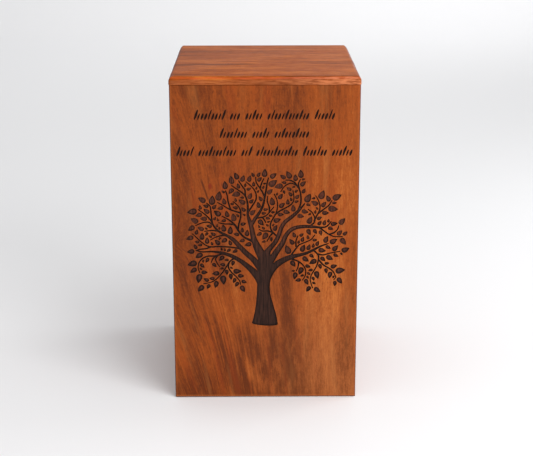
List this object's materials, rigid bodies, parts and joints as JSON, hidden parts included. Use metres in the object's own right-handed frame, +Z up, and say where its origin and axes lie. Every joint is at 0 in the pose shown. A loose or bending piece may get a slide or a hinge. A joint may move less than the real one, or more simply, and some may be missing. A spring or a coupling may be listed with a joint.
{
  "type": "cremation urn box",
  "caption": "Upright wooden box urn with a glued top, an engraved tree and rows of strokes on its front, and a base board that screws on from below.",
  "frame": {"origin": "middle of the underside, where the box stands", "axes": "+Z up, the engraved front faces -Y, +X to the right as seen from the front"},
  "size_m": [0.1286, 0.1476, 0.23],
  "materials": {
    "front_wood": "satin oiled rosewood, vertical grain, engraving burnt dark",
    "wall_wood": "satin oiled rosewood, vertical grain",
    "top_wood": "satin oiled rosewood, grain from side to side, edges sanded round",
    "base_wood": "sanded rosewood, thinly oiled",
    "block_wood": "sawn, unfinished",
    "screw_steel": "zinc plated, cross recess"
  },
  "bodies": {
    "root": {"front_panel": "front_wood", "back_panel": "wall_wood", "left_panel": "wall_wood", "right_panel": "wall_wood", "top_board": "top_wood", "base_board": "base_wood", "glue_block_front_left": "block_wood", "glue_block_front_right": "block_wood", "glue_block_back_left": "block_wood", "glue_block_back_right": "block_wood", "base_screw_front_left": "screw_steel", "base_screw_front_right": "screw_steel", "base_screw_back_left": "screw_steel", "base_screw_back_right": "screw_steel"}
  },
  "joints": []
}
